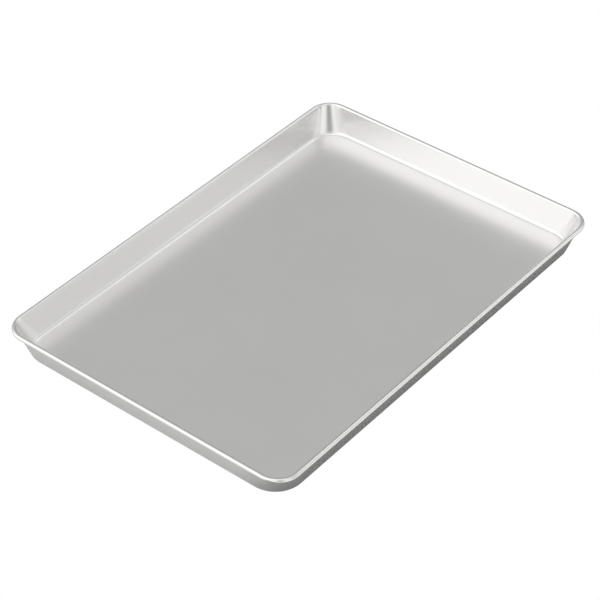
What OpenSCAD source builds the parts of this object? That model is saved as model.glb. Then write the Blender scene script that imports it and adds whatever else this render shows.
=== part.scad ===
// Jelly roll pan: a shallow drawn aluminium tray with flared walls and a rim curled over a wire.
// Millimetres. The origin is under the middle of the base, +X runs along the pan and +Z is up.

/* [Pan] */
// Length of the opening, between the inner sides of the rim
opening_l = 393.7; // [200:0.1:520]
// Width of the opening, between the inner sides of the rim
opening_w = 266.7; // [150:0.1:400]
// Height from the underside of the base to the top of the rim
pan_h = 25.4; // [16:0.1:60]
// Thickness of the aluminium sheet
sheet_t = 0.8; // [0.5:0.1:1.5]

/* [Walls] */
// How far the foot of each straight wall stands in from the outside of the rim
wall_inset = 7; // [5:0.1:14]
// Inside radius of the fold between the base and the walls
fold_r = 4; // [2:0.1:6]

/* [Corners] */
// Plan radius of the corners at the outside of the rim
rim_corner_r = 19.5; // [12:0.5:30]
// Plan radius of the corners at the foot of the walls
base_corner_r = 24.4; // [18:0.1:40]

/* [Rim] */
// Diameter of the steel wire inside the rim
wire_d = 2; // [1:0.1:3]
// Clearance between the wire and the curled sheet
wire_clearance = 0.1; // [0.08:0.01:0.3]
// Gap between the sheet's curled edge and the outside of the wall
curl_gap = 0.15; // [0.1:0.05:0.4]
// Gap between the two ends of the wire
wire_end_gap = 1; // [0.5:0.1:5]

/* [Smoothness] */
// Flat strips in each rounded corner
corner_steps = 12; // [6:1:20]
// Flat strips across the outside of the curl
curl_steps = 16; // [10:1:24]
// Flat strips across the fold
fold_steps = 5; // [3:1:10]

/* [Hidden] */

// The curl, measured round the wire's centre
wire_hole_r = wire_d / 2 + wire_clearance;
curl_r = wire_hole_r + sheet_t;
// The fold's outside, which touches the ground and the foot of the wall
fold_outer_r = fold_r + sheet_t;
// Outside size of the whole pan
outer_l = opening_l + 4 * curl_r;
outer_w = opening_w + 4 * curl_r;
// The corner of the base is rounder than the rim's, so its centre lies further in along X and along Y
corner_shift = wall_inset + base_corner_r - rim_corner_r;
// The sheet's inner side of the curl needs fewer strips than its outer side
curl_inner_steps = ceil(curl_steps * 3 / 4);
round_fn = 64;

// The section is drawn in a plane square to the wall: u runs inwards from the outside of the rim and
// z runs up. Round a corner, a is the direction that the wall faces, from 0 at one side to 90 at the
// next, and the wall leans more in the middle of the corner than along the sides.
function foot_inset(a) = corner_shift * (cos(a) + sin(a)) + rim_corner_r - base_corner_r;
function curl_centre() = [curl_r, pan_h - curl_r];
function fold_centre(a) = [foot_inset(a) + fold_outer_r, fold_outer_r];

// How far the wall leans out from upright: its inner face touches both the curl and the fold
function wall_lean(a) =
    let (d = fold_centre(a) - curl_centre())
    atan2(d[1], d[0]) + acos((curl_r + fold_r) / norm(d));

// The arc of the curl, from the wall over the top and round to the cut edge of the sheet
function curl_sweep() = 360 - acos((curl_r - sheet_t - curl_gap) / curl_r);

function arc_points(centre, r, from, to, steps) =
    [for (i = [0:steps]) centre + r * [cos(from + (to - from) * i / steps), sin(from + (to - from) * i / steps)]];

// Each point of the section is [u, z, place], where place is 0 on the fold and 1 on the rim
function at_place(points, place) = [for (p = points) [p[0], p[1], place]];

function sheet_section(a) =
    let (
        lean = wall_lean(a),
        wall_side = 180 + lean,
        curl_end = lean + curl_sweep()
    )
    concat(
        at_place(arc_points(fold_centre(a), fold_r, 270, wall_side, fold_steps), 0),
        at_place(arc_points(curl_centre(), curl_r, lean, curl_end, curl_steps), 1),
        at_place(arc_points(curl_centre(), wire_hole_r, curl_end, lean, curl_inner_steps), 1),
        at_place(arc_points(fold_centre(a), fold_outer_r, wall_side, 270, fold_steps), 0)
    );

// The corner's centre at a point of the section, as [x, y] from the middle of the pan
function corner_centre(place) =
    [outer_l / 2, outer_w / 2] - (rim_corner_r + corner_shift * (1 - place)) * [1, 1];

// A point of the section set into the corner where x and y are positive
function corner_point(p, a) =
    let (
        edge_r = p[2] == 1 ? rim_corner_r : base_corner_r + foot_inset(a),
        flat = corner_centre(p[2]) + (edge_r - p[0]) * [cos(a), sin(a)]
    )
    [flat[0], flat[1], p[1]];

// The section's points round the whole pan, corner by corner, counter-clockwise seen from above.
// Odd corners are mirror images, so they run through their angles backwards.
function shell_columns() =
    [for (corner = [0:3], i = [0:corner_steps])
        let (
            odd = corner % 2 == 1,
            step = odd ? corner_steps - i : i,
            a = 90 * step / corner_steps,
            sx = corner == 1 || corner == 2 ? -1 : 1,
            sy = corner >= 2 ? -1 : 1
        )
        [for (p = sheet_section(a)) let (q = corner_point(p, a)) [sx * q[0], sy * q[1], q[2]]]];

// One drawn sheet: base, walls and curl
module pan_shell() {
    columns = shell_columns();
    count = len(columns);
    rings = len(columns[0]);
    points = [for (column = columns, p = column) p];
    sides = [for (c = [0:count - 1], r = [0:rings - 2])
        let (next = (c + 1) % count)
        [c * rings + r, next * rings + r, next * rings + r + 1, c * rings + r + 1]];
    base_top = [for (c = [0:count - 1]) (count - 1 - c) * rings];
    base_under = [for (c = [0:count - 1]) c * rings + rings - 1];
    color("silver")
        polyhedron(points, concat(sides, [base_top, base_under]));
}

// A straight length of wire, centred on the origin and lying along X
module wire_length(length) {
    rotate([0, 90, 0])
        cylinder(h = length, d = wire_d, center = true, $fn = round_fn);
}

// A quarter bend of wire about the origin, from +X round to +Y
module wire_bend(r) {
    rotate_extrude(angle = 90, $fn = round_fn)
        translate([r, 0])
            circle(d = wire_d, $fn = round_fn);
}

// The stiffening wire inside the curl, with its ends meeting in the middle of one long side
module rim_wire() {
    bend_r = rim_corner_r - curl_r;
    long_l = outer_l - 2 * rim_corner_r;
    short_l = outer_w - 2 * rim_corner_r;
    half_l = (long_l - wire_end_gap) / 2;
    side_x = outer_l / 2 - curl_r;
    side_y = outer_w / 2 - curl_r;
    color("dimgray")
        translate([0, 0, pan_h - curl_r]) {
            for (sx = [-1, 1], sy = [-1, 1])
                translate([sx * long_l / 2, sy * short_l / 2, 0])
                    mirror([sx < 0 ? 1 : 0, 0, 0])
                        mirror([0, sy < 0 ? 1 : 0, 0])
                            wire_bend(bend_r);
            for (sx = [-1, 1])
                translate([sx * side_x, 0, 0])
                    rotate([0, 0, 90])
                        wire_length(short_l);
            translate([0, side_y, 0])
                wire_length(long_l);
            for (sx = [-1, 1])
                translate([sx * (wire_end_gap + half_l) / 2, -side_y, 0])
                    wire_length(half_l);
        }
}

pan_shell();
rim_wire();
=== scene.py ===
# %% [markdown]
# A jelly roll pan, dressed for its picture
#
# A jelly roll pan is one aluminium blank pressed into a shallow tray. Its edge is curled outwards round
# a steel wire, which keeps the thin sheet straight. The construction model holds both pieces at their
# real size. This lesson gives them their looks: a smooth pressed sheet, its satin surface, and the
# soft studio light that a bright metal tray needs, because metal shows little but what it reflects.

# %% Load the frame
import math

import bmesh
import bpy
from mathutils import Matrix, Vector


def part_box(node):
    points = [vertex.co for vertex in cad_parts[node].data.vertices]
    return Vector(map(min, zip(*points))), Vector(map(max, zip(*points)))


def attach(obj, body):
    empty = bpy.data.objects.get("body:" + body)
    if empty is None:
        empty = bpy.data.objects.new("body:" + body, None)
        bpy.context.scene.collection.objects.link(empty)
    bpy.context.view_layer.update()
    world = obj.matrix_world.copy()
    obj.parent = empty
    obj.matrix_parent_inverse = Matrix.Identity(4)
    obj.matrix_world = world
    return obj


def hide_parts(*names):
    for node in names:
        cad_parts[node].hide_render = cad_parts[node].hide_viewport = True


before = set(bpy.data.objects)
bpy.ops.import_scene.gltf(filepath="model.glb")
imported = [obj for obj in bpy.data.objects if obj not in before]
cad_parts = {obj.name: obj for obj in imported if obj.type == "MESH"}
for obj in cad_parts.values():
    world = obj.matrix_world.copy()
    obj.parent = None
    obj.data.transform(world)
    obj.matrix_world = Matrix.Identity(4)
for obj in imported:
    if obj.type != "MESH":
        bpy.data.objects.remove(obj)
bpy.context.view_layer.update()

# %% [markdown]
# Sizes
#
# Blender works in metres here. The overall sizes are read from the construction model, so the looks
# follow it if it changes. Only what a box can't tell is written out: the sheet's thickness, the gap at
# the curl's cut edge, the two corner radii, how far the walls flare and the fold between floor and wall.

# %% Read the sizes
MM = 0.001
shell_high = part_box("pan_shell")[1]
wire_low, wire_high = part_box("rim_wire")

pan_height = shell_high.z
half_length = shell_high.x
half_width = shell_high.y
curl_radius = pan_height - (wire_low.z + wire_high.z) / 2

sheet = 0.8 * MM
curl_gap = 0.15 * MM
rim_corner = 19.5 * MM
base_corner = 24.4 * MM
wall_inset = 7 * MM
fold_radius = 4 * MM
corner_shift = wall_inset + base_corner - rim_corner

print("pan in mm", [round(v / MM, 1) for v in (2 * half_length, 2 * half_width, pan_height)])
print("curl diameter in mm", round(2 * curl_radius / MM, 2))

# %% [markdown]
# Camera
#
# The photograph was taken with a long lens from above one corner. Its angle was worked out from the
# rim: four straight sides and their corners leave little freedom once the pan's size is known. The lens
# here has a small sideways shift too, as if the picture had been cropped off centre.

# %% Place the camera
IMAGE = 600
SENSOR = 36.0
camera_azimuth = math.radians(-50.810)
camera_elevation = math.radians(39.554)
camera_roll = math.radians(0.071)
camera_distance = 1.70053
camera_aim = (-31.573 * MM, -3.201 * MM)
focal_pixels = 2150.02
centre_column = 266.42

towards_camera = Vector((
    math.sin(camera_azimuth) * math.cos(camera_elevation),
    -math.cos(camera_azimuth) * math.cos(camera_elevation),
    math.sin(camera_elevation),
))
level_right = Vector((math.cos(camera_azimuth), math.sin(camera_azimuth), 0))
level_up = towards_camera.cross(level_right)
camera_right = level_right * math.cos(camera_roll) + level_up * math.sin(camera_roll)
camera_up = level_up * math.cos(camera_roll) - level_right * math.sin(camera_roll)

lens = bpy.data.cameras.new("studio_camera")
lens.sensor_width = SENSOR
lens.lens = focal_pixels * SENSOR / IMAGE
lens.shift_x = (IMAGE / 2 - centre_column) / IMAGE
camera = bpy.data.objects.new("studio_camera", lens)
bpy.context.scene.collection.objects.link(camera)
bpy.context.scene.camera = camera
place = towards_camera * camera_distance + level_right * camera_aim[0] + level_up * camera_aim[1]
turn = Matrix((camera_right, camera_up, towards_camera)).transposed().to_4x4()
camera.matrix_world = Matrix.Translation(place) @ turn
print("lens", round(lens.lens, 1), "mm, shift", round(lens.shift_x, 3))

# %% [markdown]
# The section of the sheet
#
# Cut the pan square to a wall and the sheet shows as one line: floor, fold, leaning wall, and a curl
# round the wire. The line could be drawn point by point, but arcs and one tangent describe it exactly.
# The corner at the base is rounder than the corner at the rim, as the photograph shows, so the wall
# leans further out in the middle of a corner. The section depends only on the direction that the wall
# faces there, called facing, which goes from 0 at one side to a right angle at the next.

# %% Describe the section
RIGHT_ANGLE = math.pi / 2
FOLD_STEPS = 12
CURL_STEPS = 28
WALL_STEPS = 8


def foot_inset(facing):
    """How far the foot of the wall stands in from the outside of the rim."""
    return corner_shift * (math.cos(facing) + math.sin(facing)) + rim_corner - base_corner


def wall_lean(facing):
    """The wall's angle from upright: its inner face touches both the curl and the fold."""
    across = foot_inset(facing) + fold_radius + sheet - curl_radius
    down = fold_radius + sheet - (pan_height - curl_radius)
    reach = math.hypot(across, down)
    return math.atan2(down, across) + math.acos((curl_radius + fold_radius) / reach)


def arc(centre, radius, start, end, steps):
    """Points along an arc, as (inwards, up) pairs."""
    turns = [start + (end - start) * i / steps for i in range(steps + 1)]
    return [(centre[0] + radius * math.cos(t), centre[1] + radius * math.sin(t)) for t in turns]


def section(facing):
    """The sheet's outline as (inwards, up, place), with place 0 on the fold and 1 on the rim."""
    lean = wall_lean(facing)
    fold_outer = fold_radius + sheet
    fold_centre = (foot_inset(facing) + fold_outer, fold_outer)
    curl_centre = (curl_radius, pan_height - curl_radius)
    wall_side = math.pi + lean
    curl_end = lean + 2 * math.pi - math.acos((curl_radius - sheet - curl_gap) / curl_radius)
    inner_fold = arc(fold_centre, fold_radius, 3 * RIGHT_ANGLE, wall_side, FOLD_STEPS)
    outer_curl = arc(curl_centre, curl_radius, lean, curl_end, CURL_STEPS)
    inner_curl = arc(curl_centre, curl_radius - sheet, curl_end, lean, CURL_STEPS)
    outer_fold = arc(fold_centre, fold_outer, wall_side, 3 * RIGHT_ANGLE, FOLD_STEPS)
    runs = [(inner_fold, 0), (outer_curl, 1), (inner_curl, 1), (outer_fold, 0)]
    line = []
    for points, at in runs:
        if line and line[-1][2] != at:
            # The straight wall between fold and curl gets a few points of its own
            last = line[-1]
            first = points[0] + (at,)
            for i in range(1, WALL_STEPS):
                share = i / WALL_STEPS
                line.append(tuple(a + (b - a) * share for a, b in zip(last, first)))
        line.extend(p + (at,) for p in points)
    return line


print("wall leans", round(math.degrees(wall_lean(0)), 1), "degrees at a side,",
      round(math.degrees(wall_lean(RIGHT_ANGLE / 2)), 1), "in a corner")

# %% [markdown]
# The pressed sheet
#
# The real sheet is smooth all round its corners, so its mesh should be too. The construction solid has
# flat strips there, which a satin metal would show as bands. Rather than smoothing that solid, the
# section is set round the pan again with many more columns. The floor is closed with a few rings that
# step inwards, because one huge face beside a curved fold would borrow the fold's shading.

# %% Set the section round the pan
CORNER_STEPS = 32
SIDE_STEPS = 40
FLOOR_RINGS = (1.5 * MM, 5 * MM, 14 * MM, 34 * MM, 70 * MM)


def column(corner, facing):
    """One section set into a corner: corner 0 has x and y positive, and the count runs counter-clockwise."""
    side_x = -1 if corner in (1, 2) else 1
    side_y = -1 if corner >= 2 else 1
    points = []
    for inwards, up, place_share in section(facing):
        edge = rim_corner * place_share + (base_corner + foot_inset(facing)) * (1 - place_share)
        back = rim_corner + corner_shift * (1 - place_share)
        x = half_length - back + (edge - inwards) * math.cos(facing)
        y = half_width - back + (edge - inwards) * math.sin(facing)
        points.append(Vector((side_x * x, side_y * y, up)))
    return points


def all_columns():
    """Every column round the pan, with straight sides divided evenly between two corners."""
    corners = []
    for corner in range(4):
        steps = range(CORNER_STEPS + 1)
        steps = reversed(steps) if corner % 2 else steps
        corners.append([column(corner, RIGHT_ANGLE * i / CORNER_STEPS) for i in steps])
    columns = []
    for corner in range(4):
        columns.extend(corners[corner])
        start = corners[corner][-1]
        end = corners[(corner + 1) % 4][0]
        for i in range(1, SIDE_STEPS):
            columns.append([a.lerp(b, i / SIDE_STEPS) for a, b in zip(start, end)])
    return columns


def floor_rings(edge):
    """Rings that step inwards from the floor's edge, each keeping its distance from every side."""
    reach_x = max(p.x for p in edge)
    reach_y = max(p.y for p in edge)
    rings = []
    for step in FLOOR_RINGS:
        shrink_x, shrink_y = 1 - step / reach_x, 1 - step / reach_y
        rings.append([Vector((p.x * shrink_x, p.y * shrink_y, p.z)) for p in edge])
    return rings


def build_sheet():
    """The whole sheet as one closed mesh."""
    shape = bmesh.new()
    columns = all_columns()
    sheet_rows = [[c[i] for c in columns] for i in range(len(columns[0]))]
    top = floor_rings(sheet_rows[0])
    under = floor_rings(sheet_rows[-1])
    rows = list(reversed(top)) + sheet_rows + under
    made = [[shape.verts.new(p) for p in row] for row in rows]
    count = len(columns)
    for low, high in zip(made, made[1:]):
        for i in range(count):
            j = (i + 1) % count
            shape.faces.new((low[i], low[j], high[j], high[i]))
    shape.faces.new(list(reversed(made[0])))
    shape.faces.new(made[-1])
    bmesh.ops.recalc_face_normals(shape, faces=shape.faces)
    mesh = bpy.data.meshes.new("pressed_sheet")
    shape.to_mesh(mesh)
    shape.free()
    return mesh


SHARP = math.radians(50)
sheet_mesh = build_sheet()
sheet_mesh.shade_smooth()
sheet_mesh.set_sharp_from_angle(angle=SHARP)
pan = bpy.data.objects.new("pressed_sheet", sheet_mesh)
bpy.context.scene.collection.objects.link(pan)
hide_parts("pan_shell")
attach(pan, "root")
print("pressed sheet", len(sheet_mesh.vertices), "points,", len(sheet_mesh.polygons), "faces")

# %% [markdown]
# Small tools for materials
#
# A material is a graph of nodes. Two short helpers keep the cells that follow readable: one adds a node
# with its settings and inputs, the other does a sum. An input may be a plain number or another node's
# output, and the helper sets or links it.

# %% Define the node helpers
def feed(tree, socket, value):
    """Sets an input to a number, or links another node's output to it."""
    if isinstance(value, bpy.types.NodeSocket):
        tree.links.new(value, socket)
    else:
        socket.default_value = value


def add(tree, kind, inputs=None, **settings):
    """A new node with its settings and inputs, given by name or by number."""
    made = tree.nodes.new(kind)
    for name, value in settings.items():
        setattr(made, name, value)
    for name, value in (inputs or {}).items():
        feed(tree, made.inputs[name], value)
    return made


def sum_of(tree, operation, *values, clamp=False):
    """The output of one Math node."""
    made = add(tree, "ShaderNodeMath", operation=operation, use_clamp=clamp)
    for i, value in enumerate(values):
        feed(tree, made.inputs[i], value)
    return made.outputs[0]


def ramp_between(tree, value, low, high, at_low=0.0, at_high=1.0):
    """A smooth step from at_low to at_high as value goes from low to high."""
    made = add(tree, "ShaderNodeMapRange", interpolation_type="SMOOTHSTEP", inputs={
        "Value": value, "From Min": low, "From Max": high, "To Min": at_low, "To Max": at_high})
    return made.outputs["Result"]


def new_group(name, inputs, outputs):
    """An empty shader group with its named sockets, and its two end nodes."""
    group = bpy.data.node_groups.new(name, "ShaderNodeTree")
    for label, value in inputs.items():
        socket = group.interface.new_socket(label, in_out="INPUT", socket_type="NodeSocketFloat")
        socket.default_value = value
    for label in outputs:
        group.interface.new_socket(label, in_out="OUTPUT", socket_type="NodeSocketFloat")
    return group, group.nodes.new("NodeGroupInput").outputs, group.nodes.new("NodeGroupOutput").inputs


def use_group(tree, group, **values):
    """Places a group in a material and gives its outputs."""
    made = add(tree, "ShaderNodeGroup", node_tree=group)
    for name, value in values.items():
        feed(tree, made.inputs[name.replace("_", " ")], value)
    return made.outputs


print("node helpers ready")

# %% [markdown]
# Rolling grain
#
# Sheet aluminium leaves the mill with fine lines along the direction of rolling. A picture of scratches
# could be wrapped round the pan, but noise stretched along X does the same at any size. When the blank
# is pressed, the lines bend up into the walls, so height is added to the length or the width to unroll
# the walls, depending on which way they face.

# %% Make the rolling grain group
def make_grain():
    group, given, result = new_group("rolling_grain", {"Length mm": 40.0, "Width mm": 0.3}, ["Grain"])
    coords = add(group, "ShaderNodeTexCoord")
    place_xyz = add(group, "ShaderNodeSeparateXYZ", inputs={0: coords.outputs["Object"]}).outputs
    faces = add(group, "ShaderNodeSeparateXYZ", inputs={0: coords.outputs["Normal"]}).outputs
    faces_x = sum_of(group, "ABSOLUTE", faces[0])
    faces_y = sum_of(group, "ABSOLUTE", faces[1])
    long_wall = sum_of(group, "GREATER_THAN", faces_y, faces_x)
    end_wall = sum_of(group, "SUBTRACT", 1.0, long_wall)
    climb_y = sum_of(group, "MULTIPLY", sum_of(group, "SIGN", place_xyz[1]), place_xyz[2])
    climb_x = sum_of(group, "MULTIPLY", sum_of(group, "SIGN", place_xyz[0]), place_xyz[2])
    along = sum_of(group, "MULTIPLY_ADD", climb_x, end_wall, place_xyz[0])
    across = sum_of(group, "MULTIPLY_ADD", climb_y, long_wall, place_xyz[1])
    stretched = add(group, "ShaderNodeCombineXYZ", inputs={
        0: sum_of(group, "DIVIDE", along, sum_of(group, "MULTIPLY", given["Length mm"], MM)),
        1: sum_of(group, "DIVIDE", across, sum_of(group, "MULTIPLY", given["Width mm"], MM))})
    noise = add(group, "ShaderNodeTexNoise", noise_dimensions="2D", inputs={
        "Vector": stretched.outputs[0], "Scale": 1.0, "Detail": 3.0, "Roughness": 0.6})
    feed(group, result["Grain"], noise.outputs["Fac"])
    return group


rolling_grain = make_grain()
print("group", rolling_grain.name)

# %% [markdown]
# Handling marks
#
# A pan that has been stacked and washed carries faint cloudy patches and a few hairline scratches that
# cross at odd angles. They could be drawn one by one, but noise spreads them evenly without a plan. One
# noise makes the clouds. The scratches are the thin lines where three more noises, each turned and
# stretched its own way, pass through their middle value. They are kept only where the clouds are
# strong, so that they stay short.

# %% Make the handling group
SCRATCH_TURNS = ((0.5, 9.0), (-0.9, 12.0), (1.9, 7.0))
HAIRLINE = 0.006
GATE_LOW, GATE_HIGH = 0.52, 0.66


def make_handling():
    sizes = {"Cloud mm": 60.0, "Scratch mm": 14.0}
    group, given, result = new_group("handling_marks", sizes, ["Clouds", "Scratches"])
    coords = add(group, "ShaderNodeTexCoord").outputs["Object"]
    clouds = add(group, "ShaderNodeTexNoise", inputs={
        "Vector": coords, "Scale": sum_of(group, "DIVIDE", 1 / MM, given["Cloud mm"]),
        "Detail": 4.0, "Roughness": 0.55, "Distortion": 0.6})
    feed(group, result["Clouds"], clouds.outputs["Fac"])
    lines = []
    for angle, stretch in SCRATCH_TURNS:
        turned = add(group, "ShaderNodeMapping", inputs={
            "Vector": coords, "Rotation": (0.0, 0.0, angle), "Scale": (1.0, stretch, 1.0)})
        noise = add(group, "ShaderNodeTexNoise", inputs={
            "Vector": turned.outputs[0], "Scale": sum_of(group, "DIVIDE", 1 / MM, given["Scratch mm"]),
            "Detail": 1.0, "Roughness": 0.4})
        off_middle = sum_of(group, "ABSOLUTE", sum_of(group, "SUBTRACT", noise.outputs["Fac"], 0.5))
        lines.append(ramp_between(group, off_middle, 0.0, HAIRLINE, 1.0, 0.0))
    gate = ramp_between(group, clouds.outputs["Fac"], GATE_LOW, GATE_HIGH)
    all_lines = sum_of(group, "MAXIMUM", sum_of(group, "MAXIMUM", lines[0], lines[1]), lines[2])
    feed(group, result["Scratches"], sum_of(group, "MULTIPLY", all_lines, gate))
    return group


handling_marks = make_handling()
print("group", handling_marks.name)

# %% [markdown]
# Drawing marks
#
# Where the press drags the sheet over its die, the walls take faint upright lines. A picture of them
# would have to bend round four corners, so a noise stretched upwards makes them here, as strong along
# the sides as in the corners. One mask keeps it off the floor, and another fades it out towards the rim.

# %% Make the drawing marks group
UPRIGHT_STRETCH = 0.06
WALL_FACING, FLOOR_FACING = 0.45, 0.8
FADE_FROM = 0.6


def make_drawing_marks():
    sizes = {"Spacing mm": 1.6, "Wall top mm": 22.0}
    group, given, result = new_group("drawing_marks", sizes, ["Marks"])
    coords = add(group, "ShaderNodeTexCoord")
    squash = add(group, "ShaderNodeMapping", inputs={
        "Vector": coords.outputs["Object"], "Scale": (1.0, 1.0, UPRIGHT_STRETCH)})
    noise = add(group, "ShaderNodeTexNoise", inputs={
        "Vector": squash.outputs[0], "Scale": sum_of(group, "DIVIDE", 1 / MM, given["Spacing mm"]),
        "Detail": 2.0, "Roughness": 0.5})
    up = add(group, "ShaderNodeSeparateXYZ", inputs={0: coords.outputs["Object"]}).outputs[2]
    faces_up = add(group, "ShaderNodeSeparateXYZ", inputs={0: coords.outputs["Normal"]}).outputs[2]
    wall = ramp_between(group, sum_of(group, "ABSOLUTE", faces_up), WALL_FACING, FLOOR_FACING, 1.0, 0.0)
    top = sum_of(group, "MULTIPLY", given["Wall top mm"], MM)
    below = ramp_between(group, up, sum_of(group, "MULTIPLY", top, FADE_FROM), top, 1.0, 0.0)
    mask = sum_of(group, "MULTIPLY", wall, below)
    centred = sum_of(group, "SUBTRACT", noise.outputs["Fac"], 0.5)
    feed(group, result["Marks"], sum_of(group, "MULTIPLY", centred, mask))
    return group


drawing_marks = make_drawing_marks()
print("group", drawing_marks.name)

# %% [markdown]
# Natural aluminium
#
# Bare aluminium is a light, slightly warm grey, and it is satin rather than mirror bright. The colour
# barely changes over the pan; what changes is how rough it is. The floor keeps the dull skin of the
# mill, the walls are burnished by the die, and the rim, rubbed by every cloth and stack, is smoothest.
# Clouds and grain move the roughness a little, and scratches are duller.

# %% Make the aluminium
FLOOR_SATIN = 0.29
SATIN = 0.23
RIM_SATIN = 0.17
CLOUD_ROUGHNESS, GRAIN_ROUGHNESS, SCRATCH_ROUGHNESS = 0.04, 0.02, 0.03
DARKER_GREY = (0.885, 0.880, 0.868, 1)
PALER_GREY = (0.925, 0.922, 0.915, 1)
MARK_HEIGHT, GRAIN_HEIGHT, SCRATCH_DEPTH = 0.5, 0.04, 0.10
RELIEF_STRENGTH, RELIEF_DISTANCE = 0.12, 0.02 * MM
FLOOR_SKIN = fold_radius / 8
RUBBED_FROM, RUBBED_FULLY = 2.6 * curl_radius, 1.2 * curl_radius


def make_aluminium():
    material = bpy.data.materials.new("natural_aluminium")
    material.use_nodes = True
    tree = material.node_tree
    surface = tree.nodes["Principled BSDF"]
    grain = use_group(tree, rolling_grain, Length_mm=45.0, Width_mm=0.28)["Grain"]
    handling = use_group(tree, handling_marks, Cloud_mm=70.0, Scratch_mm=16.0)
    marks = use_group(tree, drawing_marks, Spacing_mm=1.5, Wall_top_mm=21.0)["Marks"]
    coords = add(tree, "ShaderNodeTexCoord").outputs["Object"]
    up = add(tree, "ShaderNodeSeparateXYZ", inputs={0: coords}).outputs[2]
    low = ramp_between(tree, up, sheet, sheet + FLOOR_SKIN, 1.0, 0.0)
    rim = ramp_between(tree, up, pan_height - RUBBED_FROM, pan_height - RUBBED_FULLY)

    tint = add(tree, "ShaderNodeMix", data_type="RGBA", inputs={
        0: handling["Clouds"], 6: DARKER_GREY, 7: PALER_GREY})
    tree.links.new(tint.outputs[2], surface.inputs["Base Color"])

    clouds_off = sum_of(tree, "SUBTRACT", handling["Clouds"], 0.5)
    grain_off = sum_of(tree, "SUBTRACT", grain, 0.5)
    cloudy = sum_of(tree, "MULTIPLY_ADD", clouds_off, CLOUD_ROUGHNESS, SATIN)
    grained = sum_of(tree, "MULTIPLY_ADD", grain_off, GRAIN_ROUGHNESS, cloudy)
    scratched = sum_of(tree, "MULTIPLY_ADD", handling["Scratches"], SCRATCH_ROUGHNESS, grained)
    floored = sum_of(tree, "MULTIPLY_ADD", low, FLOOR_SATIN - SATIN, scratched)
    rubbed = sum_of(tree, "MULTIPLY_ADD", rim, RIM_SATIN - SATIN, floored)
    tree.links.new(rubbed, surface.inputs["Roughness"])

    ridges = sum_of(tree, "MULTIPLY", grain, GRAIN_HEIGHT)
    relief = sum_of(tree, "MULTIPLY_ADD", marks, MARK_HEIGHT, ridges)
    cuts = sum_of(tree, "MULTIPLY", handling["Scratches"], SCRATCH_DEPTH)
    bump = add(tree, "ShaderNodeBump", inputs={
        "Strength": RELIEF_STRENGTH, "Distance": RELIEF_DISTANCE,
        "Height": sum_of(tree, "SUBTRACT", relief, cuts)})
    tree.links.new(bump.outputs["Normal"], surface.inputs["Normal"])
    surface.inputs["Metallic"].default_value = 1.0
    return material


aluminium = make_aluminium()
sheet_mesh.materials.append(aluminium)
print("material", aluminium.name)

# %% [markdown]
# The wire
#
# The wire stays as the construction model made it: a plain round wire is already its true shape, so a
# second mesh would add nothing. The curl hides it, except for a line of dull drawn steel that could show
# from below, through the narrow gap at the curl's cut edge.

# %% Make the wire's steel
WIRE_SATIN, WIRE_GRAIN, WIRE_RELIEF = 0.32, 0.15, 0.2
DARKER_STEEL = (0.36, 0.35, 0.34, 1)
PALER_STEEL = (0.52, 0.51, 0.50, 1)


def make_wire_steel():
    material = bpy.data.materials.new("drawn_steel")
    material.use_nodes = True
    tree = material.node_tree
    surface = tree.nodes["Principled BSDF"]
    grain = use_group(tree, rolling_grain, Length_mm=12.0, Width_mm=0.12)["Grain"]
    clouds = use_group(tree, handling_marks, Cloud_mm=18.0, Scratch_mm=6.0)["Clouds"]
    tint = add(tree, "ShaderNodeMix", data_type="RGBA", inputs={
        0: clouds, 6: DARKER_STEEL, 7: PALER_STEEL})
    tree.links.new(tint.outputs[2], surface.inputs["Base Color"])
    dulled = sum_of(tree, "MULTIPLY_ADD", grain, WIRE_GRAIN, WIRE_SATIN)
    tree.links.new(dulled, surface.inputs["Roughness"])
    bump = add(tree, "ShaderNodeBump", inputs={
        "Strength": WIRE_RELIEF, "Distance": RELIEF_DISTANCE, "Height": grain})
    tree.links.new(bump.outputs["Normal"], surface.inputs["Normal"])
    surface.inputs["Metallic"].default_value = 1.0
    return material


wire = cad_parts["rim_wire"]
wire_steel = make_wire_steel()
if not wire.material_slots:
    wire.data.materials.append(wire_steel)
for slot in wire.material_slots:
    slot.material = wire_steel
print("material", wire_steel.name, "in", len(wire.material_slots), "slot of", wire.name)

# %% [markdown]
# The table
#
# The photograph shows the pan alone on pure white. A floor lit to pure white would also turn the
# outside of the walls white, because they lean over and mirror it. So the floor is plain white to the
# camera, and to the light that reaches the pan a matt surface whose tones are painted light and shade.

# %% Lay the table
FLOOR_SIZE = 8.0
FLOOR_DROP = 0.3 * MM

floor_shape = bmesh.new()
bmesh.ops.create_grid(floor_shape, x_segments=1, y_segments=1, size=FLOOR_SIZE / 2)
floor_mesh = bpy.data.meshes.new("table")
floor_shape.to_mesh(floor_mesh)
floor_shape.free()
floor = bpy.data.objects.new("table", floor_mesh)
floor.location.z = -FLOOR_DROP
bpy.context.scene.collection.objects.link(floor)
print("table", FLOOR_SIZE, "m across")

# %% [markdown]
# The table's painted light and shade
#
# The outer walls mirror only a narrow strip of the table beside their foot, so that strip sets their
# tone. Its tones are painted light and shade: a painted shadow of the pan darkens it along the long near
# side, and painted light makes it lighter at the near end, on the left. Beyond the far end the table is
# painted dark, as the studio is behind the pan. A lamp would cast such a shadow by itself, but painting
# the strip lets each wall's tone be set alone. Just past the strip the table is painted pale on both
# near sides, a painted light that the lower half of the rim mirrors there as a bright band.

# %% Paint light and shade on the table
# These tones are painted light and shade: SHADED_TONE is a painted shadow of the pan, BACK_TONE painted
# shade beyond the far end, LIT_TONE painted light.
FLOOR_TONE = 0.72
SHADED_TONE = 0.39
BACK_TONE = 0.36
LIT_TONE = 1.0
TONE_REACH = 60 * MM
SHADE_START, SHADE_END = 2 * MM, 17 * MM

# The table's matt tones are painted light and shade, not the paper's own colour; the camera sees only plain
# white.
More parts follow.
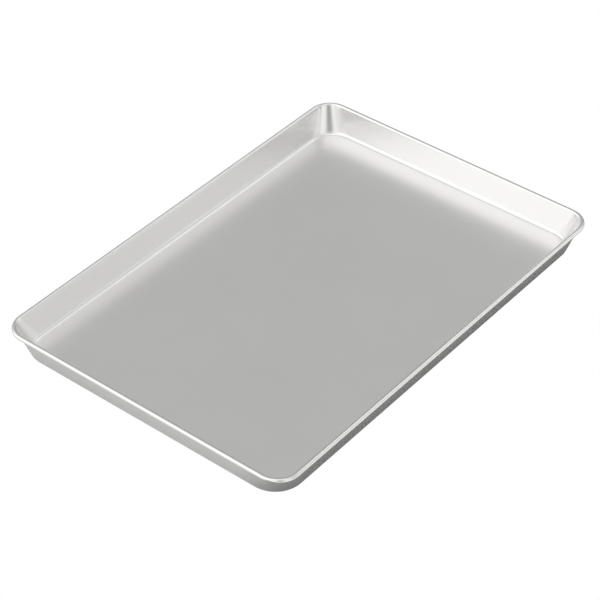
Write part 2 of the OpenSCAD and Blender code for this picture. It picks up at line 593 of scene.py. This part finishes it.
paper = bpy.data.materials.new("white_paper_painted_light_and_shade")
paper.use_nodes = True
paper_tree = paper.node_tree
paper_tree.nodes.clear()
seen = add(paper_tree, "ShaderNodeEmission", inputs={"Strength": 1.0})
where = add(paper_tree, "ShaderNodeTexCoord").outputs["Object"]
where_xyz = add(paper_tree, "ShaderNodeSeparateXYZ", inputs={0: where}).outputs
left_edge = -half_length - SHADE_START
left_end = -half_length - SHADE_END
near_edge = -half_width - SHADE_START
near_end = -half_width - SHADE_END
# Painted light at the near end on the left, and painted shade beyond the far end.
left_tone = ramp_between(paper_tree, where_xyz[0], left_end, left_edge, LIT_TONE, FLOOR_TONE)
right_drop = ramp_between(
    paper_tree, where_xyz[0], half_length, half_length + TONE_REACH, 0.0, FLOOR_TONE - BACK_TONE)
open_tone = sum_of(paper_tree, "SUBTRACT", left_tone, right_drop)
# A painted shadow of the pan along the long near side.
unshaded = ramp_between(paper_tree, where_xyz[1], -half_width, -half_width + TONE_REACH, 0.0, 1.0)
open_gain = sum_of(paper_tree, "SUBTRACT", open_tone, SHADED_TONE)
strip_tone = sum_of(paper_tree, "MULTIPLY_ADD", open_gain, unshaded, SHADED_TONE)
# Painted light just past the strip, which the lower half of the rim mirrors as a bright band.
past_strip = ramp_between(paper_tree, where_xyz[1], near_end, near_edge, LIT_TONE, 0.0)
tone = sum_of(paper_tree, "MAXIMUM", strip_tone, past_strip)
matt = add(paper_tree, "ShaderNodeBsdfDiffuse", inputs={"Color": tone})
by_ray = add(paper_tree, "ShaderNodeLightPath")
either = add(paper_tree, "ShaderNodeMixShader", inputs={
    0: by_ray.outputs["Is Camera Ray"], 1: matt.outputs[0], 2: seen.outputs[0]})
add(paper_tree, "ShaderNodeOutputMaterial", inputs={"Surface": either.outputs[0]})
floor_mesh.materials.append(paper)
print("material", paper.name)

# %% [markdown]
# The studio
#
# Polished metal is lit by what stands round it. Here that is a ring of soft white cards: a large one on
# the left, which turns the right-hand wall white, smaller ones each side of the camera with a dark gap
# between them, a fill on the right and a dark wall behind the pan. Area lamps could stand in for the
# cards, but a ring painted by compass direction is smoother and easy to adjust. Each entry is a
# direction in degrees, counter-clockwise from +X, and how bright the studio is there. One list is for
# the horizon and the other for higher up.

# %% Describe the studio
HORIZON = [
    (-180, 0.90), (-168, 0.80), (-158, 1.00), (-148, 0.95), (-139, 0.20), (-126, 0.20), (-114, 1.00),
    (-98, 1.05), (-84, 0.50), (-72, 0.42), (-58, 0.85), (-44, 1.15), (-30, 0.85), (-14, 0.36), (8, 0.16),
    (60, 0.18), (88, 0.55), (108, 1.20), (122, 1.30), (158, 1.30), (170, 1.25), (180, 0.90),
]
RAISED = [
    (-180, 1.10), (-156, 1.00), (-130, 0.60), (-100, 0.90), (-72, 0.72), (-58, 0.76), (-49, 0.63),
    (-39, 0.66), (-27, 0.80), (-12, 0.80), (2, 0.58), (16, 0.48), (66, 0.48),
    (88, 0.80), (110, 1.14), (150, 1.14), (180, 1.10),
]
OVERHEAD = 1.10
BRIGHTEST = 1.4
LOW_SINE, HIGH_SINE, TOP_START, TOP_END = 0.08, 0.5, 0.92, 1.0
FULL_TURN = 360


def ring_of_light(tree, turn_share, entries):
    """The studio's brightness by compass direction."""
    made = add(tree, "ShaderNodeValToRGB", inputs={0: turn_share})
    ramp = made.color_ramp
    ramp.interpolation = "EASE"
    while len(ramp.elements) > 1:
        ramp.elements.remove(ramp.elements[-1])
    for i, (degrees, bright) in enumerate(entries):
        at = degrees / FULL_TURN + 0.5
        element = ramp.elements[0] if i == 0 else ramp.elements.new(at)
        element.position = at
        share = bright / BRIGHTEST
        element.color = (share, share, share, 1)
    return sum_of(tree, "MULTIPLY", made.outputs["Color"], BRIGHTEST)


print("studio ring of", len(HORIZON), "and", len(RAISED), "tones")

# %% [markdown]
# The ring round the pan
#
# A world's background can be any graph of nodes that turns a direction into a brightness. The heading
# comes from the two level parts of the direction, and its upward part, the sine of its height, blends
# the low list into the high one and the high one into the overhead light.

# %% Light the studio
studio = bpy.data.worlds.new("studio")
bpy.context.scene.world = studio
studio.use_nodes = True
sky = studio.node_tree
sky.nodes.clear()
direction = add(sky, "ShaderNodeTexCoord").outputs["Generated"]
compass = add(sky, "ShaderNodeSeparateXYZ", inputs={0: direction}).outputs
heading = sum_of(sky, "ARCTAN2", compass[1], compass[0])
turn_share = sum_of(sky, "MULTIPLY_ADD", heading, 1 / (2 * math.pi), 0.5)
low_ring = ring_of_light(sky, turn_share, HORIZON)
high_ring = ring_of_light(sky, turn_share, RAISED)
raised = ramp_between(sky, compass[2], LOW_SINE, HIGH_SINE)
ring = sum_of(sky, "MULTIPLY_ADD", sum_of(sky, "SUBTRACT", high_ring, low_ring), raised, low_ring)
topped = ramp_between(sky, compass[2], TOP_START, TOP_END)
dome = sum_of(sky, "MULTIPLY_ADD", sum_of(sky, "SUBTRACT", OVERHEAD, ring), topped, ring)
print("world", studio.name)

# %% [markdown]
# A small card
#
# The fold at the floor's edge and the inside of the curl show thin bright lines. They mirror a part of
# the studio that little else on the pan shows to the camera, high up behind the pan and to the right.
# A brighter overhead light would reach them too, but it would also make the floor too bright, so a
# small card lights these lines and little else. The camera itself sees plain white all round.

# %% Hang the small card
CARD = 0.80
CARD_AZIMUTH, CARD_HALF_WIDTH, CARD_FADED = 3, 8, 14
CARD_SINE, CARD_HALF_RISE, CARD_RISE_FADED = 0.79, 0.05, 0.09

card_share = CARD_AZIMUTH / FULL_TURN + 0.5
card_off = sum_of(sky, "ABSOLUTE", sum_of(sky, "SUBTRACT", turn_share, card_share))
card_across = ramp_between(
    sky, card_off, CARD_HALF_WIDTH / FULL_TURN, CARD_FADED / FULL_TURN, CARD, 0.0)
card_rise = sum_of(sky, "ABSOLUTE", sum_of(sky, "SUBTRACT", compass[2], CARD_SINE))
card_up = ramp_between(sky, card_rise, CARD_HALF_RISE, CARD_RISE_FADED, 1.0, 0.0)
dome = sum_of(sky, "MULTIPLY_ADD", card_across, card_up, dome)
camera_ray = add(sky, "ShaderNodeLightPath").outputs["Is Camera Ray"]
shown = sum_of(sky, "MULTIPLY_ADD", sum_of(sky, "SUBTRACT", 1.0, dome), camera_ray, dome)
background = add(sky, "ShaderNodeBackground", inputs={"Color": shown, "Strength": 1.0})
add(sky, "ShaderNodeOutputWorld", inputs={"Surface": background.outputs[0]})
print("card at", CARD_AZIMUTH, "degrees")

# %% [markdown]
# Finish
#
# Film-like tone curves turn white paper grey, so the picture uses the plain one.

# %% Finish
bpy.context.scene.view_settings.view_transform = "Standard"
bpy.context.view_layer.update()
